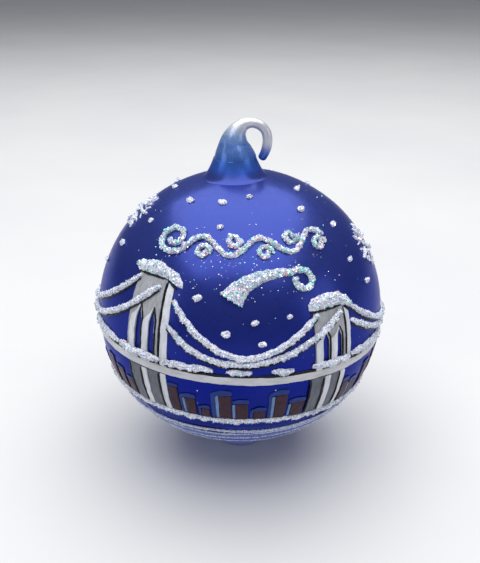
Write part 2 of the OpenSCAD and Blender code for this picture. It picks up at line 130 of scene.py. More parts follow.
def cad_mesh(node):
    """Points and triangles of a CAD node, with the points that lie together joined."""
    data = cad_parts[node].data
    data.calc_loop_triangles()
    co = np.empty(len(data.vertices) * 3, np.float32)
    data.vertices.foreach_get("co", co)
    co = co.reshape(-1, 3).astype(float)
    tris = np.empty(len(data.loop_triangles) * 3, np.int32)
    data.loop_triangles.foreach_get("vertices", tris)
    joined_within = 1e-7
    cells = np.round(co / joined_within).astype(np.int64)
    _, first, same = np.unique(cells, axis=0, return_index=True, return_inverse=True)
    tris = same.reshape(-1)[tris].reshape(-1, 3)
    whole = (tris[:, 0] != tris[:, 1]) & (tris[:, 1] != tris[:, 2]) & (tris[:, 2] != tris[:, 0])
    return co[first], tris[whole]


def split_edges(points, tris, longest):
    """Directions, heights and triangles of a mesh whose edges over longest are halved until none
    is left; each new point has the mean height of its edge's ends."""
    u, height = to_ball(points)
    while True:
        ends = np.sort(np.concatenate([tris[:, [0, 1]], tris[:, [1, 2]], tris[:, [2, 0]]]), axis=1)
        edges, index = np.unique(ends, axis=0, return_inverse=True)
        p = from_ball(u, height)
        long = np.linalg.norm(p[edges[:, 0]] - p[edges[:, 1]], axis=1) > longest
        if not long.any():
            return u, height, tris
        middle = np.full(len(edges), -1)
        middle[long] = len(u) + np.arange(long.sum())
        a, b = edges[long].T
        between = u[a] + u[b]
        u = np.vstack([u, between / np.linalg.norm(between, axis=1, keepdims=True)])
        height = np.concatenate([height, (height[a] + height[b]) / 2])
        tris = split_triangles(tris, middle[index.reshape(3, -1)].T)


def split_triangles(tris, m):
    """Triangles cut at the middles m of their edges 0-1, 1-2 and 2-0, where m isn't -1."""
    cuts = (m >= 0).sum(1)
    made = [tris[cuts == 0]]
    for turn in range(3):
        t, n = np.roll(tris, -turn, 1), np.roll(m, -turn, 1)
        one = (cuts == 1) & (n[:, 0] >= 0)
        made += [np.stack([t[one, 0], n[one, 0], t[one, 2]], 1),
                 np.stack([n[one, 0], t[one, 1], t[one, 2]], 1)]
        two = (cuts == 2) & (n[:, 2] < 0)
        made += [np.stack([n[two, 0], t[two, 1], n[two, 1]], 1),
                 np.stack([t[two, 0], n[two, 0], n[two, 1]], 1),
                 np.stack([t[two, 0], n[two, 1], t[two, 2]], 1)]
    three = cuts == 3
    t, n = tris[three], m[three]
    made += [np.stack([t[:, 0], n[:, 0], n[:, 2]], 1), np.stack([n[:, 0], t[:, 1], n[:, 1]], 1),
             np.stack([n[:, 2], n[:, 1], t[:, 2]], 1), n]
    return np.vstack(made)


def smoothed(points, tris, times):
    """Points moved towards the mean of their neighbours, to round the rims of a coat of paint."""
    a = np.concatenate([tris[:, 0], tris[:, 1], tris[:, 2]])
    b = np.concatenate([tris[:, 1], tris[:, 2], tris[:, 0]])
    count = np.bincount(a, minlength=len(points))[:, None]
    for _ in range(times):
        total = np.stack([np.bincount(a, points[b, k], len(points)) for k in range(3)], 1)
        points = 0.4 * points + 0.6 * total / np.maximum(count, 1)
    return points


def normals_of(points, faces):
    """Unit normal at each point, from the faces round it weighed by their areas."""
    a, b, c = (points[faces[:, k]] for k in (0, 1, 2))
    n = np.cross(b - a, c - a)
    total = np.stack([sum(np.bincount(faces[:, k], n[:, i], len(points))
                          for k in range(faces.shape[1])) for i in range(3)], 1)
    return total / np.maximum(np.linalg.norm(total, axis=1, keepdims=True), 1e-12)


def remeshed(points, tris, voxel):
    """One clean skin round closed solids, as points and faces."""
    data = bpy.data.meshes.new("scratch")
    data.from_pydata(points.tolist(), [], tris.tolist())
    scratch = bpy.data.objects.new("scratch", data)
    bpy.context.scene.collection.objects.link(scratch)
    change = scratch.modifiers.new("skin", "REMESH")
    change.mode = "VOXEL"
    change.voxel_size = voxel
    change.adaptivity = 0
    bpy.context.view_layer.update()
    done = scratch.evaluated_get(bpy.context.evaluated_depsgraph_get()).to_mesh()
    co = np.empty(len(done.vertices) * 3, np.float32)
    done.vertices.foreach_get("co", co)
    faces = [tuple(f.vertices) for f in done.polygons]
    bpy.data.objects.remove(scratch)
    bpy.data.meshes.remove(data)
    return co.reshape(-1, 3).astype(float), np.array(faces)


def skinned(rings, looped=False):
    """Points and faces of a skin over a chain of equal rings, which is looped or has flat ends."""
    rings = np.asarray(rings)
    index = np.arange(rings.shape[0] * rings.shape[1]).reshape(rings.shape[:2])
    beside = np.roll(index, -1, axis=1)
    sides = np.stack([index, beside, np.roll(beside, -1, axis=0), np.roll(index, -1, axis=0)], -1)
    if looped:
        return rings.reshape(-1, 3), sides.reshape(-1, 4).tolist()
    ends = [index[0, ::-1].tolist(), index[-1].tolist()]
    return rings.reshape(-1, 3), sides[:-1].reshape(-1, 4).tolist() + ends


def ridden(name, data, material, slot, *nodes):
    """Makes a mesh a piece that rides with the object and stands for the CAD nodes given."""
    data.materials.append(material)
    piece = bpy.data.objects.new(name, data)
    bpy.context.scene.collection.objects.link(piece)
    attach(piece, "root")
    if nodes:
        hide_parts(*nodes)
    return piece


def put(name, points, faces, material, slot, node):
    """Smooth piece made of points and lists of face corners, in place of a CAD node."""
    data = bpy.data.meshes.new(name)
    data.from_pydata(points.tolist(), [], faces)
    data.validate()
    data.shade_smooth()
    return ridden(name, data, material, slot, node)


# ---- Materials -----------------------------------------------------------------------------------

# Colours are linear. Stretches slow a pattern down along the strokes of an upright or level brush.
UPRIGHT = (1, 1, 0.12)
LEVEL = (0.16, 0.16, 1)
EVEN = (1, 1, 1)

COBALT = (0.003, 0.011, 0.22)
# Painted light: the lacquer's paler colour at the top, where light from above falls.
COBALT_LIT = (0.045, 0.066, 0.28)
COBALT_THROUGH_WASH = (0.01, 0.02, 0.26)
WASH = (0.058, 0.092, 0.41)
WASH_PALE = (0.145, 0.205, 0.58)
WASH_EDGE = (0.34, 0.42, 0.70)
# Painted light: a paler wash that lifts a part which sits in shade.
WASH_PAINTED_LIGHT = (0.30, 0.38, 0.86)
NECK_BLUE = (0.036, 0.105, 0.52)
CONE_BLUE = (0.050, 0.135, 0.46)
CONE_STREAK = (0.24, 0.36, 0.60)
ROD_FROST = (0.50, 0.51, 0.57)
ROD_TIP_BLUE = (0.025, 0.07, 0.50)
STONE = (0.37, 0.38, 0.41)
PIER_STONE = (0.128, 0.142, 0.178)
LEG_WHITE = (0.66, 0.68, 0.74)
DECK_WHITE = (0.60, 0.61, 0.64)
MAROON = (0.038, 0.007, 0.022)
ROOF_BLUE = (0.005, 0.032, 0.22)
STRIP_BLUE = (0.14, 0.25, 0.46)
# Each paste has its own colour and a grey of painted shade, which stands in for the shadow among its
# grains.
SNOW = (0.87, 0.89, 0.95)
SNOW_PAINTED_SHADE = (0.26, 0.28, 0.40)
PEARL = (0.74, 0.79, 0.92)
PEARL_PAINTED_SHADE = (0.24, 0.27, 0.42)
RIVER = (0.62, 0.67, 0.83)
RIVER_PAINTED_SHADE = (0.22, 0.26, 0.48)


class Look:
    """A Principled material whose patterns are read in the object's own coordinates."""

    def __init__(self, name):
        self.material = bpy.data.materials.new(name)
        self.material.use_nodes = True
        self.nodes = self.material.node_tree.nodes
        self.shader = self.nodes["Principled BSDF"]
        self.own = self.nodes.new("ShaderNodeTexCoord").outputs["Object"]

    def feed(self, node, inputs):
        """Gives each named input of a node a socket, a colour or a number."""
        for name, value in inputs.items():
            socket = node.inputs[name]
            if isinstance(value, bpy.types.NodeSocket):
                self.material.node_tree.links.new(value, socket)
            elif socket.type == "RGBA":
                socket.default_value = (*value, 1)
            else:
                socket.default_value = value

    def add(self, kind, inputs, **settings):
        """A new node with its settings and inputs."""
        node = self.nodes.new("ShaderNode" + kind)
        for name, value in settings.items():
            setattr(node, name, value)
        self.feed(node, inputs)
        return node

    def shade(self, inputs):
        """Sets the shader's own inputs."""
        self.feed(self.shader, inputs)

    def noise(self, scale, detail, rough=0.6, distortion=0.0, stretch=EVEN, turn=(0, 0, 0)):
        placed = self.add("Mapping", {"Vector": self.own, "Scale": stretch, "Rotation": turn})
        return self.add("TexNoise", {"Vector": placed.outputs["Vector"], "Scale": scale,
                                     "Detail": detail, "Roughness": rough,
                                     "Distortion": distortion}).outputs["Fac"]

    def ramp(self, value, *stops):
        """Colours along a value; stops are (position, (r, g, b)) pairs."""
        node = self.add("ValToRGB", {"Fac": value})
        while len(node.color_ramp.elements) < len(stops):
            node.color_ramp.elements.new(1)
        for element, (at, colour) in zip(node.color_ramp.elements, stops):
            element.position = at
            element.color = (*colour, 1)
        return node.outputs["Color"]

    def levels(self, value, low, high, to_low=0.0, to_high=1.0):
        """A value that goes from to_low to to_high while the one given goes from low to high."""
        return self.add("MapRange", {"Value": value, "From Min": low, "From Max": high,
                                     "To Min": to_low, "To Max": to_high}).outputs["Result"]

    def mixed(self, factor, a, b, blend="MIX"):
        """Colour b laid over colour a by a factor."""
        node = self.add("Mix", {}, data_type="RGBA", blend_type=blend)
        self.feed(node, {"Factor": factor, "A": a, "B": b})
        return next(s for s in node.outputs if s.type == "RGBA")

    def times(self, a, b, plus=0.0):
        return self.add("Math", {0: a, 1: b, 2: plus}, operation="MULTIPLY_ADD").outputs["Value"]

    def place(self):
        """The surface's own X and Z, in metres."""
        split = self.add("SeparateXYZ", {"Vector": self.own})
        return split.outputs["X"], split.outputs["Z"]

    def bump(self, height, strength, distance):
        bump = self.add("Bump", {"Height": height, "Strength": strength, "Distance": distance})
        self.shade({"Normal": bump.outputs["Normal"]})


def enamel(name, colour, thin_share, brush, rough=0.42):
    """Satin enamel laid with a small brush: streaks of thicker and thinner paint along the stroke."""
    look = Look(name)
    streaks = look.noise(900, 5, 0.65, stretch=brush)
    patches = look.noise(160, 3)
    thin = tuple(c * thin_share for c in colour)
    thick_paint_and_painted_light = tuple(min(1, c * 1.12) for c in colour)
    base = look.ramp(streaks, (0.33, thin), (0.55, colour), (0.75, thick_paint_and_painted_light))
    look.shade({"Base Color": look.mixed(look.levels(patches, 0.35, 0.75, 0.0, 0.35), base, thin),
                "Roughness": look.levels(streaks, 0.3, 0.7, rough + 0.1, rough - 0.08),
                "Specular IOR Level": 0.22, "Coat Weight": 0.06, "Coat Roughness": 0.15})
    look.bump(streaks, 0.4, 0.08 * MM)
    return look.material


def liner_paint():
    """Black gloss liner, slightly thin in places so that the edge of a stroke shows grey."""
    look = Look("black_liner_paint")
    uneven = look.noise(1300, 4, 0.7, stretch=(1, 1, 0.5))
    look.shade({"Base Color": look.ramp(uneven, (0.35, (0.003, 0.003, 0.004)),
                                        (0.7, (0.012, 0.012, 0.016))),
                "Roughness": look.levels(uneven, 0.3, 0.7, 0.25, 0.5),
                "Specular IOR Level": 0.2})
    look.bump(uneven, 0.3, 0.06 * MM)
    return look.material


def snow_paste(name, body, painted_shade, sparkle=0.5):
    """Granular relief paste: crushed white grains with grey painted shade that stands in for the
    shadow in its hollows and among its grains, and a few bright facets.
    """
    look = Look(name)
    cells = look.add("TexVoronoi", {"Vector": look.own, "Scale": 2600})
    # Each cell draws three numbers of its own: its gloss, its tint and how much painted shade it gets,
    # a darkening that stands in for the shadow among the grains.
    drawn = look.add("SeparateColor", {"Color": cells.outputs["Color"]})
    gloss, tinted, cell_painted_shade = (drawn.outputs[c] for c in ("Red", "Green", "Blue"))
    # The darkest stop is painted shade, laid at random by noise, standing in for the shadow in the
    # paste's hollows.
    base = look.ramp(look.noise(1900, 3, 0.7), (0.32, painted_shade), (0.5, body), (0.72, (0.93, 0.94, 0.97)))
    tint = look.ramp(tinted, (0.0, (0.90, 0.92, 1.0)), (0.55, (1.0, 1.0, 1.0)),
                     (0.80, (0.72, 0.95, 0.95)), (0.9, (1.0, 0.80, 0.86)), (0.97, (0.80, 0.78, 1.0)))
    # Painted shade: cells darkened at random, down to about half, as if the grains shadowed each
    # other.
    shade = look.ramp(cell_painted_shade, (0.0, (0.55, 0.57, 0.64)), (0.5, (0.95, 0.95, 0.97)),
                      (1.0, (1.0, 1.0, 1.0)))
    base = look.mixed(0.85, base, shade, "MULTIPLY")
    look.shade({"Base Color": look.mixed(0.75, base, tint, "MULTIPLY"),
                "Roughness": look.levels(gloss, 0.8, 0.9, 0.55, 0.16),
                "Metallic": look.levels(gloss, 0.86, 0.9, 0.0, sparkle),
                "Subsurface Weight": 0.12,
                "Subsurface Radius": (1 * MM, 1 * MM, 1.2 * MM)})
    look.bump(cells.outputs["Distance"], 0.6, 0.15 * MM)
    return look.material


def pearl_film():
    """Cut pearl film: each flake's own tint is a colour that its corners carry."""
    look = Look("pearl_flake")
    tint = look.add("Attribute", {}, attribute_name="tint").outputs["Color"]
    wear = look.noise(3000, 2)
    look.shade({"Base Color": look.mixed(look.levels(wear, 0.3, 0.7, 0.0, 0.25), tint,
                                         (0.95, 0.96, 1.0)),
                "Roughness": look.levels(wear, 0.3, 0.7, 0.12, 0.3),
                "Metallic": 0.55, "Coat Weight": 0.6, "Coat Roughness": 0.05})
    return look.material


# The neck and the hook are one run of glass, so their surfaces agree at the neck's top.
LACQUER_METALLIC = 0.65
LACQUER_SPECULAR = 0.12
LACQUER_COAT = 0.06


def lacquer():
    """Translucent cobalt lacquer over bright glass, which gives every reflection its own blue; it is
    painted paler towards the top, a painted light from above, and level brushed water shows through
    low down."""
    look = Look("cobalt_lacquer_coat")
    _, z = look.place()
    # Painted light: the top is painted paler, towards COBALT_LIT, as if lit from above.
    top = look.levels(z, MID_Z - 0.1 * POLE_R, TOP_Z)
    base = look.mixed(top, COBALT, COBALT_LIT)
    cloud = look.noise(45, 4, 0.55)
    base = look.mixed(look.levels(cloud, 0.4, 0.7, 0.0, 0.12), base, COBALT_LIT)
    brush = look.noise(1, 4, 0.6, 0.6, stretch=(9, 9, 420))
    water = look.levels(z, MID_Z - 0.42 * POLE_R, MID_Z - 0.62 * POLE_R)
    strokes = look.levels(brush, 0.44, 0.58, 0.0, 0.8)
    base = look.mixed(look.times(water, strokes), base, WASH)
    neck = look.levels(z, TOP_Z + 0.2 * MM, TOP_Z + 2.6 * MM)
    base = look.mixed(neck, base, NECK_BLUE)
    neck_rim = look.levels(z, NECK_TOP - 3.5 * MM, NECK_TOP)
    haze = look.noise(300, 3)
    look.shade({"Base Color": look.mixed(neck_rim, base, CONE_BLUE),
                "Roughness": look.levels(haze, 0.3, 0.7, 0.25, 0.34),
                "Metallic": LACQUER_METALLIC, "Specular IOR Level": LACQUER_SPECULAR,
                "Specular Tint": (0.45, 0.50, 0.85),
                "Coat Weight": LACQUER_COAT, "Coat Roughness": 0.08})
    look.bump(haze, 0.03, 0.2 * MM)
    return look.material


def wash_paint(name, thick_paint_and_painted_light=0.0):
    """Pale blue wash brushed level over the lower ball and its foot, with the cobalt showing through
    it.
    Its last argument, from 0 to 1, paints it paler: a painted light that lifts a part sitting in
    shade."""
    look = Look(name)
    brush = look.noise(1, 5, 0.62, 0.8, stretch=(14, 14, 380))
    base = look.ramp(brush, (0.34, COBALT_THROUGH_WASH), (0.45, WASH), (0.60, WASH_PALE),
                     (0.74, WASH_EDGE))
    look.shade({"Base Color": look.mixed(thick_paint_and_painted_light, base, WASH_PAINTED_LIGHT),
                "Roughness": look.levels(brush, 0.3, 0.7, 0.32, 0.5),
                "Coat Weight": 0.2, "Coat Roughness": 0.12})
    look.bump(brush, 0.3, 0.2 * MM)
    return look.material


def hanger_glass():
    """Drawn glass: a blue cone that goes on from the neck, then frosted clear at the top, and a
    rod that comes down to a deep blue tip."""
    look = Look("hook_glass")
    x, z = look.place()
    drawn = look.noise(260, 4, 0.6, 0.5, stretch=(1, 1, 0.3))
    rise = look.levels(look.times(drawn, 2.2 * MM, z), TOP_Z - 1.5 * MM, cad_box[1].z + 1.1 * MM)
    cone = look.ramp(rise, (0.0, NECK_BLUE), (0.34, (0.030, 0.105, 0.40)),
                     (0.42, (0.070, 0.165, 0.44)), (0.60, (0.045, 0.125, 0.40)),
                     (0.74, (0.16, 0.26, 0.48)), (0.84, (0.45, 0.48, 0.56)),
                     (0.93, (0.62, 0.62, 0.64)), (1.0, (0.70, 0.70, 0.71)))
    streaks = look.noise(900, 4, 0.65, stretch=(1.6, 1.6, 0.25), turn=(0, 0.5, 0))
    glass = look.mixed(look.levels(streaks, 0.45, 0.72, 0.0, 0.4), cone, CONE_STREAK)
    rod = look.levels(x, 4.8 * MM, 6 * MM)
    glass = look.mixed(rod, glass, ROD_FROST)
    tip = look.times(look.levels(z, NECK_TOP + 5 * MM, NECK_TOP + 1 * MM),
                     look.levels(x, 5.6 * MM, 6 * MM))
    glass = look.mixed(tip, glass, ROD_TIP_BLUE)
    clear = look.levels(z, NECK_TOP + 0.3 * MM, NECK_TOP + 4 * MM)

    def from_lacquer(at_neck, higher):
        return look.levels(z, NECK_TOP, NECK_TOP + 4 * MM, at_neck, higher)

    look.shade({"Base Color": look.mixed(clear, CONE_BLUE, glass),
                "Roughness": look.levels(drawn, 0.35, 0.7, 0.20, 0.36),
                "Metallic": from_lacquer(LACQUER_METALLIC, 0.25),
                "Specular IOR Level": from_lacquer(LACQUER_SPECULAR, 0.5),
                "Subsurface Weight": from_lacquer(0.0, 0.25),
                "Subsurface Radius": (2 * MM, 2 * MM, 4 * MM),
                "Coat Weight": from_lacquer(LACQUER_COAT, 0.5), "Coat Roughness": 0.06})
    look.bump(drawn, 0.25, 0.3 * MM)
    return look.material


def bare_glass():
    """The blown wall under the lacquer, with faint seeds in it."""
    look = Look("bare_blown_glass")
    seeds = look.noise(120, 3)
    look.shade({"Base Color": look.ramp(seeds, (0.3, (0.04, 0.07, 0.45)), (0.7, (0.08, 0.13, 0.6))),
                "Roughness": look.levels(seeds, 0.3, 0.7, 0.03, 0.1),
                "Transmission Weight": 0.9})
    return look.material


def plain_floor():
    look = Look("pale_floor")
    mottle = look.noise(6, 3)
    look.shade({"Base Color": look.ramp(mottle, (0.3, (0.60, 0.60, 0.61)), (0.7, (0.64, 0.64, 0.64))),
                "Roughness": 0.6})
    return look.material


# ---- Coats of lacquer and wash -------------------------------------------------------------------

# Radius of the foot where it meets the ball, as a share of the ball's radius.
FOOT_SHARE = 0.27
FOOT_LAT = -math.degrees(math.acos(FOOT_SHARE))
# The lacquer stops under the neck, and the wash stops at the river's far side.
NECK_HOLE_LAT = 81
WASH_LAT = -37
LACQUER_T = 0.2 * MM
WASH_T = 0.12 * MM


def shell(name, rows, inner, outer, material, slot, node, shore=None):
    """Closed coat from FOOT_LAT to its highest row, between two heights over the lacquer. shore is
    how far its upper rim strays from that row at a longitude; the coat thins out towards it."""
    lon = np.linspace(0, 360, 288, endpoint=False)
    stray = 0 * lon if shore is None else shore(lon)
    share = (rows - rows[0]) / (rows[-1] - rows[0])
    over, under = [], []
    for lat, up in zip(rows, share):
        u = direction(lon, lat + stray * up)
        height = outer + 0.07 * MM * waves(from_ball(u, 0 * lon), 20 * MM, 5)
        if shore is not None:
            height = height * min(1, 9 * (1 - up) + 0.1)
        over.append(from_ball(u, height))
        under.append(from_ball(u, 0 * lon + inner))
    points, faces = skinned(over + under[::-1], looped=True)
    put(name, points, faces, material, slot, node)


def river_shore(lon):
    """Brushed upper edge of the wash: three wobbles, and it reaches higher on the front's flanks."""
    wobble = sum(height * np.sin(np.radians(times * lon + start))
                 for height, times, start in ((1.1, 5, 0), (0.8, 13, 40), (0.5, 29, 10)))
    left = 7 * np.exp(-((lon - 310) / 25) ** 2)
    right = 5 * np.exp(-((lon - 62) / 16) ** 2)
    return wobble + left + right


# ---- Foot, neck and hook -------------------------------------------------------------------------

# The foot stands on a flat, with a rounded rim, and flares up to the ball.
FOOT_FLAT_R = 9 * MM
FOOT_RIM = 1 * MM
FOOT_FLARE = 4.5 * MM

# The neck leans off the middle. It widens downwards from the hook's own slope, by a taper and a
# flare, with a fillet where it leaves the ball.
NECK_X = -1.7 * MM
NECK_TOP = TOP_Z + 5.2 * MM
NECK_TOP_R = 7.2 * MM
NECK_TAPER = 0.34
NECK_FLARE = 0.028 / MM
NECK_FILLET = 0.9 * MM
NECK_TALL = NECK_TOP - ball_z(9 * MM)
# Each end of the joint between neck and hook goes on inside the other piece, to this radius.
CORE_R = 4 * MM

# Middle line of the hook: x, height over the neck's top and radius, in millimetres.
HOOK_LINE = [
    (-1.7, 0, 7.2), (-1.9, 2.7, 6.05), (-1.9, 5.2, 4.9), (-1.4, 7.4, 3.95), (-0.3, 9.5, 2.85),
    (1.5, 11.1, 2.05), (4, 11.6, 1.65), (6.6, 10.8, 1.65), (8.5, 8.8, 1.65), (9.15, 6.1, 1.65),
    (8.9, 3.5, 1.65), (8.2, 1.4, 1.55), (7.5, 0.1, 1.45)
]


def round_angles(sides):
    return np.linspace(0, 2 * math.pi, sides, endpoint=False)


def turned(outline, sides, axis_x=0.0):
    """Rings of an outline of (radius, height) points turned about an upright axis."""
    angle = round_angles(sides)
    return [np.stack([axis_x + r * np.cos(angle), r * np.sin(angle), np.full(sides, z)], 1)
            for r, z in outline]


def foot_rings(sides=120):
    """Rings of the foot from the middle of its flat, round the rim and up to the ball's underside."""
    core = 0.2 * MM
    flat = FOOT_FLAT_R - FOOT_RIM
    rim = [(flat + FOOT_RIM * math.cos(a), FOOT_RIM + FOOT_RIM * math.sin(a))
           for a in np.radians(np.linspace(-85, 0, 9))]
    flare_tall = MID_Z - POLE_R * math.sqrt(1 - FOOT_SHARE ** 2) - FOOT_RIM + 0.05 * MM
    flare = [(FOOT_FLAT_R + FOOT_FLARE * u ** 1.7, FOOT_RIM + flare_tall * u)
             for u in np.linspace(0.05, 1, 18)]
    top = [(r, 2 * MID_Z - ball_z(r) + 0.05 * MM) for r in (12 * MM, 9 * MM, 6 * MM, 3 * MM, core)]
    return turned([(core, 0), (flat, 0)] + rim + flare + top, sides)


def neck_rings(sides=128):
    """Rings of the neck: the lowest lie on the ball all the way round and the highest is level."""
    angle = round_angles(sides)
    rings = turned([(CORE_R, ball_z(CORE_R) - 0.6 * MM)], sides, NECK_X)
    # From just under the ball's surface, where up is below 0, to the neck's top, where it is 1.
    for up in np.linspace(-0.03, 1, 64):
        share = max(up, 0) ** 1.5
        down = NECK_TALL * (1 - share)
        r = NECK_TOP_R + NECK_TAPER * down + NECK_FLARE * down ** 2 + NECK_FILLET * (1 - up) ** 6
        x, y = NECK_X + r * np.cos(angle), r * np.sin(angle)
        low = MID_Z + POLE_R * np.sqrt(1 - (x ** 2 + y ** 2) / BALL_R ** 2)
        z = low + (NECK_TOP - low) * share + min(up, 0) * 6 * MM
        rings.append(np.stack([x, y, z], 1))
    inside_hook = NECK_TOP + 0.2 * MM
    return rings + turned([(NECK_TOP_R - 0.8 * MM, inside_hook), (CORE_R, inside_hook)],
                          sides, NECK_X)


def through(stations, steps):
    """Smooth chain through listed stations, with this many steps between neighbours."""
    st = np.array(stations, float)
    st = np.vstack([st[0], st, st[-1]])
    made = []
    for a, b, c, d in zip(st, st[1:], st[2:], st[3:]):
        for u in np.arange(steps) / steps:
            made.append(0.5 * (2 * b + (c - a) * u + (2 * a - 5 * b + 4 * c - d) * u ** 2
                               + (3 * b - a - 3 * c + d) * u ** 3))
    return np.array(made + [st[-1]])


def hook_rings(sides=48):
    """Rings of the hook: two inside the neck, then along its line, then round its blunt tip."""
    line = through(HOOK_LINE, 12) * MM
    heading = np.gradient(line[:, :2], axis=0)
    heading /= np.linalg.norm(heading, axis=1, keepdims=True)
    heading[0] = (0, 1)
    angle = round_angles(sides)

    def ring(x, z, r, hx, hz):
        across = r * np.cos(angle)
        return np.stack([x + hz * across, r * np.sin(angle), NECK_TOP + z - hx * across], 1)

    rings = turned([(CORE_R, NECK_TOP - 1 * MM), (NECK_TOP_R - 0.5 * MM, NECK_TOP - 0.8 * MM)],
                   sides, NECK_X)
    for i, ((x, z, r), (hx, hz)) in enumerate(zip(line, heading)):
        rings.append(ring(x, z, r * (1 + 0.012 * math.sin(0.13 * i)), hx, hz))
    x, z, r = line[-1]
    hx, hz = heading[-1]
    for a in np.radians([20, 40, 58, 74, 86]):
        out = 0.75 * r * math.sin(a)
        rings.append(ring(x + hx * out, z + hz * out, r * math.cos(a), hx, hz))
    return rings


def put_skin(name, rings, material, slot, node, crease=None):
    """Piece skinned over rings; crease is the ring whose edges stay sharp."""
    points, faces = skinned(rings)
    piece = put(name, points, faces, material, slot, node)
    if crease is not None:
        sides = len(rings[0])
        sharp = range(crease * sides, (crease + 1) * sides)
        mark = piece.data.attributes.new("sharp_edge", "BOOLEAN", "EDGE")
        mark.data.foreach_set("value", [all(v in sharp for v in e.vertices)
                                        for e in piece.data.edges])


def make_glass():
    coat = lacquer()
    shell("lacquer_shell", np.linspace(FOOT_LAT, NECK_HOLE_LAT, 150), -LACQUER_T, 0, coat,
          "cobalt_lacquer", "lacquer_coat")
    shell("river_wash_brushed", np.linspace(FOOT_LAT, WASH_LAT, 60), 0, WASH_T,
          wash_paint("river_wash_paint"), "wash_paint", "river_wash", river_shore)
    # The foot's wash is painted paler, a painted light against the shade under the ball.
    put_skin("foot_button", foot_rings(), wash_paint("foot_wash_paint", 0.7), "wash_glass",
             "glass_foot")
    # Both pieces of the joint keep the ring that they share sharp.
    neck = neck_rings()
    put_skin("neck_cone", neck, coat, "cobalt_glass", "glass_neck", crease=len(neck) - 3)
    put_skin("hook_loop", hook_rings(), hanger_glass(), "clear_glass", "glass_hook", crease=2)
    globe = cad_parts["glass_globe"]
    globe.data.materials.clear()
    globe.data.materials.append(bare_glass())


# ---- Enamel and liner ----------------------------------------------------------------------------

# A liner stroke is narrow, so it is rounded less than a plate of enamel, and swelled to make up.
LINER_SWELL = 0.05 * MM


def painted(node, material, slot, seed, soft=2, swell=0.0):
    """A coat of enamel: finer than the CAD plate, with a hand's wobble and softened rims."""
    points, tris = cad_mesh(node)
    u, height, tris = split_edges(points, tris, 0.5 * MM)
    base = from_ball(u, 0 * height)
    sideways = np.stack([waves(base, 6 * MM, seed + k) for k in range(3)], 1) * 0.05 * MM
    uneven = 1 + 0.10 * waves(base, 2.5 * MM, 40 + seed)
    points = smoothed(from_ball(u, height * uneven) + sideways, tris, soft)
    points = points + normals_of(points, tris) * swell
    put(node + "_brushed", points, tris.tolist(), material, slot, node)


def make_paint():
    stone = enamel("tower_stone_enamel", STONE, 0.72, UPRIGHT)
    pier_stone = enamel("pier_stone_enamel", PIER_STONE, 0.68, UPRIGHT)
    white = enamel("white_leg_enamel", LEG_WHITE, 0.75, UPRIGHT, 0.35)
    white_level = enamel("white_deck_enamel", DECK_WHITE, 0.78, LEVEL, 0.35)
    maroon = enamel("maroon_wall_enamel", MAROON, 0.5, UPRIGHT)
    roof = enamel("blue_roof_enamel", ROOF_BLUE, 0.6, LEVEL)
    strip = enamel("pale_strip_enamel", STRIP_BLUE, 0.7, UPRIGHT)
    black = liner_paint()
    coats = [
        ("deck_band_enamel", white_level, "white_enamel"),
        ("deck_liner", black, "black_liner"),
        ("main_cable_liner", black, "black_liner"),
        ("side_cable_liner", black, "black_liner"),
        ("skyline_walls", maroon, "maroon_enamel"),
        ("skyline_roofs", roof, "blue_enamel"),
        ("skyline_side_strips", strip, "pale_blue_enamel")
    ]
    for side in ("left", "right"):
        for part, grey in (("tower", stone), ("pier", pier_stone)):
            coats += [(f"{side}_{part}_stone", grey, "grey_enamel"),
                      (f"{side}_{part}_trim", white, "white_enamel"),
                      (f"{side}_{part}_liner", black, "black_liner")]
    for seed, (node, material, slot) in enumerate(coats):
        if material is black:
            painted(node, material, slot, seed, soft=1, swell=LINER_SWELL)
        else:
            painted(node, material, slot, seed)


# ---- Piped paste ---------------------------------------------------------------------------------

# Full height of the paste in the CAD.
PASTE_T = 1.1 * MM
# How a line of paste is roughened: the skin's fineness, the height of its lumps and of its grains,
# the grains' size, the share of its points that carry a crumb, and how much it swells.
ROPE = {"voxel": 0.2 * MM, "lump": 0.22 * MM, "grain": 0.38 * MM, "grain_size": 0.7 * MM,
        "crumb_share": 0.09, "swell": 0.05 * MM}
RIVER_LINE = {"voxel": 0.24 * MM, "lump": 0.08 * MM, "grain": 0.16 * MM, "grain_size": 0.5 * MM,
              "crumb_share": 0.03, "swell": -0.06 * MM}

# A crumb of the paste is an eight-faced grain.
CRUMB = np.array([(1, 0, 0), (-1, 0, 0), (0, 1, 0), (0, -1, 0), (0, 0, 1), (0, 0, -1)], float)
CRUMB_FACES = np.array([(0, 2, 4), (2, 1, 4), (1, 3, 4), (3, 0, 4), (2, 0, 5), (1, 2, 5), (3, 1, 5),
                        (0, 3, 5)])


def crumbs(skin, out, tall, share, seed):
    """Grains of random size, shape and turn, half sunk in a share of the skin's points."""
    rng = np.random.default_rng(seed)
    keep = rng.random(len(skin)) < share
    at, normal = skin[keep], out[keep]
    n = len(at)
    size = rng.uniform(0.13, 0.36, n) * MM * (0.4 + 0.6 * tall[keep])
    axes = rng.normal(size=(n, 3, 3))
    axes /= np.linalg.norm(axes, axis=2, keepdims=True)
    shape = rng.uniform(0.6, 1.5, (n, 6, 1)) * CRUMB * size[:, None, None]
    middle = at + normal * size[:, None] * 0.35
    points = middle[:, None] + np.einsum("nvk,nkc->nvc", shape, axes)
    faces = (6 * np.arange(n))[:, None, None] + CRUMB_FACES
    return points.reshape(-1, 3), faces.reshape(-1, 3)


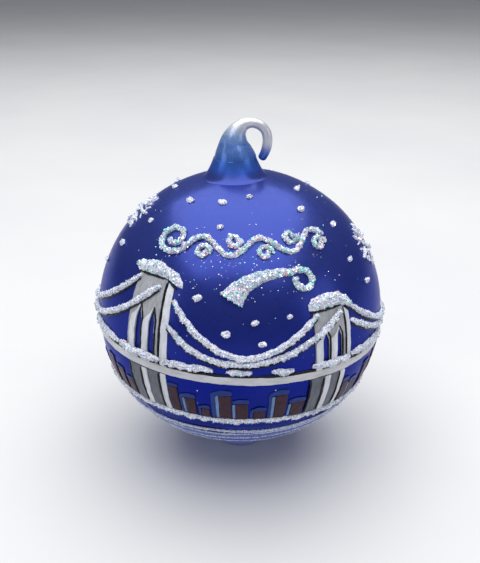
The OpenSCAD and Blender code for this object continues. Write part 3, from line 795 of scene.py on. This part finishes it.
def piped(node, material, slot, seed, line):
    """Relief paste squeezed from a nozzle: lumpy along its length and covered in coarse grains.
    Returns the points of its skin and the way out of each."""
    points, tris = cad_mesh(node)
    u, height, tris = split_edges(points, tris, 1.0 * MM)
    skin, faces = remeshed(from_ball(u, height), tris, line["voxel"])
    tall = np.clip(to_ball(skin)[1] / PASTE_T, 0, 1)
    out = normals_of(skin, faces)
    lumps = line["lump"] * waves(skin, 2.6 * MM, seed)
    bumps = line["grain"] * (grains(skin, line["grain_size"], seed) - 0.35)
    skin = skin + out * ((lumps + bumps) * (0.45 + 0.55 * tall) + line["swell"])[:, None]
    out = normals_of(skin, faces)
    grit, grit_faces = crumbs(skin, out, tall, line["crumb_share"], seed)
    piece = put(node + "_piped", np.vstack([skin, grit]),
                faces.tolist() + (len(skin) + grit_faces).tolist(), material, slot, node)
    smooth = np.arange(len(piece.data.polygons)) < len(faces)
    piece.data.polygons.foreach_set("use_smooth", smooth)
    return skin, out


# ---- Glitter -------------------------------------------------------------------------------------

# Tints of the flakes and how often each is drawn.
PEARLS = [((0.96, 0.97, 1.00), 0.40), ((0.20, 0.95, 0.80), 0.20), ((0.08, 0.72, 0.50), 0.09),
          ((1.00, 0.55, 0.72), 0.11), ((1.00, 0.42, 0.24), 0.07), ((0.55, 0.60, 1.00), 0.07),
          ((0.85, 1.00, 0.75), 0.06)]
FLAKE_T = 0.04 * MM
FLAKE_LIFT = 0.06 * MM
FILM = pearl_film()


def scatter_flakes(name, skin, out, count, radius, seed, silver=0.0, lowest=0.45 * MM):
    """Hexagons of pearl film stuck at random on a skin's points over a lowest height, each tilted
    its own way. silver adds to the share of the first tint."""
    rng = np.random.default_rng(seed)
    free = np.flatnonzero(to_ball(skin)[1] > lowest)
    at = rng.choice(free, size=min(count, len(free)), replace=False)
    flat = out[at] + rng.normal(scale=0.45, size=(len(at), 3))
    flat /= np.linalg.norm(flat, axis=1, keepdims=True)
    side = np.cross(flat, rng.normal(size=(len(at), 3)))
    side /= np.linalg.norm(side, axis=1, keepdims=True)
    other = np.cross(flat, side)
    size = radius * rng.uniform(0.7, 1.2, len(at))
    centre = skin[at] + out[at] * FLAKE_LIFT
    corners = [centre + flat * lift + size[:, None] * (side * math.cos(a) + other * math.sin(a))
               for lift in (-FLAKE_T / 2, FLAKE_T / 2) for a in np.arange(6) * math.pi / 3]
    points = np.stack(corners, 1).reshape(-1, 3)
    faces = []
    for f in (12 * np.arange(len(at))).tolist():
        faces += [[f + 5 - k for k in range(6)], [f + 6 + k for k in range(6)]]
        faces += [[f + k, f + (k + 1) % 6, f + 6 + (k + 1) % 6, f + 6 + k] for k in range(6)]
    chance = np.array([share for _, share in PEARLS])
    chance[0] += silver
    kinds = rng.choice(len(PEARLS), size=len(at), p=chance / chance.sum())
    tints = np.array([colour for colour, _ in PEARLS])[kinds]
    data = bpy.data.meshes.new(name)
    data.from_pydata(points.tolist(), [], faces)
    tint = data.attributes.new("tint", "FLOAT_COLOR", "POINT")
    rows = np.hstack([np.repeat(tints, 12, axis=0), np.ones((len(points), 1))])
    tint.data.foreach_set("color", rows.ravel().astype(np.float32))
    ridden(name, data, FILM, "glitter_paste")


def stray_glitter():
    """Loose flakes on the bare lacquer: some near the scroll, and the rest anywhere round it."""
    rng = np.random.default_rng(7)
    near, far = 230, 150
    lon = np.concatenate([rng.normal(6, 24, near), rng.uniform(-180, 180, far)])
    lat = np.concatenate([rng.normal(40, 8, near), rng.uniform(-20, 66, far)])
    u = direction(lon, lat)
    scatter_flakes("stray_glitter", from_ball(u, np.full(len(u), 0.02 * MM)), u, len(u), 0.15 * MM, 8,
                   lowest=0)


# Flakes on each piece of snow, in the order in which they are made.
SNOW_FLAKES = {
    "far_cable_snow": 60, "near_cable_snow": 60, "left_side_cable_snow": 30,
    "right_side_cable_snow": 30, "deck_snow": 90, "left_tower_snow_cap": 90,
    "right_tower_snow_cap": 80, "shore_snow": 40, "falling_snow": 70, "left_snowflake": 20,
    "right_snowflake": 30, "back_snowflakes": 40
}
FLOURISH_FLAKES = {"scroll_flourish": 950, "swash_flourish": 560}


def make_paste():
    snow = snow_paste("snow_paste_grains", SNOW, SNOW_PAINTED_SHADE)
    pearl = snow_paste("pearl_paste_grains", PEARL, PEARL_PAINTED_SHADE, 0.8)
    river = snow_paste("river_paste_grains", RIVER, RIVER_PAINTED_SHADE)
    for seed, (node, count) in enumerate(SNOW_FLAKES.items()):
        skin, out = piped(node, snow, "snow_paste", seed + 1, ROPE)
        scatter_flakes(node + "_glitter", skin, out, count, 0.33 * MM, seed + 60, silver=0.2)
    for seed, (node, count) in enumerate(FLOURISH_FLAKES.items()):
        skin, out = piped(node, pearl, "glitter_paste", seed + 30, ROPE)
        scatter_flakes(node + "_glitter", skin, out, count, 0.36 * MM, seed + 90)
    skin, out = piped("river_lines", river, "river_glitter", 50, RIVER_LINE)
    scatter_flakes("river_lines_glitter", skin, out, 160, 0.2 * MM, 93, lowest=0.2 * MM)
    stray_glitter()


# ---- Stage ---------------------------------------------------------------------------------------

# Camera: distance from the ball's middle, height angle, the angle that it looks above it, and lens.
CAMERA_D = 0.3
CAMERA_ELEVATION = math.radians(24.5)
LOOK_ABOVE = math.radians(1.49)
LENS = 53.2

SKY = (0.80, 0.84, 0.92)
SKY_STRENGTH = 0.28
FLOOR_SIZE = 6
# Each softbox: its place, what it aims at, its width and depth, and its power in watts.
SOFTBOXES = {
    "overhead_softbox": ((0.0, 0.10, 0.80), (0, 0.10, 0), 1.3, 1.6, 17.0),
    "left_softbox": ((-0.85, -0.35, 0.30), (0, 0, 0.06), 0.5, 0.4, 1.0),
    "right_softbox": ((0.85, -0.35, 0.28), (0, 0, 0.06), 0.5, 0.4, 0.9)
}


def put_softbox(name, at, aim, width, depth, power):
    data = bpy.data.lights.new(name, "AREA")
    data.shape = "RECTANGLE"
    data.size, data.size_y = width, depth
    data.energy = power
    softbox = bpy.data.objects.new(name, data)
    softbox.location = at
    softbox.rotation_euler = (Vector(aim) - Vector(at)).to_track_quat("-Z", "Y").to_euler()
    bpy.context.scene.collection.objects.link(softbox)


def make_stage():
    bpy.ops.mesh.primitive_plane_add(size=FLOOR_SIZE, location=(0, 1, 0))
    floor = bpy.context.object
    floor.name = "floor"
    floor.data.materials.append(plain_floor())
    world = bpy.data.worlds.new("studio")
    bpy.context.scene.world = world
    world.use_nodes = True
    background = world.node_tree.nodes["Background"]
    background.inputs["Color"].default_value = (*SKY, 1)
    background.inputs["Strength"].default_value = SKY_STRENGTH
    for name, softbox in SOFTBOXES.items():
        put_softbox(name, *softbox)
    data = bpy.data.cameras.new("camera")
    data.lens = LENS
    data.clip_start, data.clip_end = 0.01, 20
    camera = bpy.data.objects.new("camera", data)
    bpy.context.scene.collection.objects.link(camera)
    forward, up = math.cos(CAMERA_ELEVATION), math.sin(CAMERA_ELEVATION)
    camera.location = (0, -CAMERA_D * forward, MID_Z + CAMERA_D * up)
    camera.rotation_euler = (math.pi / 2 - CAMERA_ELEVATION + LOOK_ABOVE, 0, 0)
    bpy.context.scene.camera = camera
    bpy.context.scene.view_settings.view_transform = "Standard"


make_glass()
make_paint()
make_paste()
make_stage()
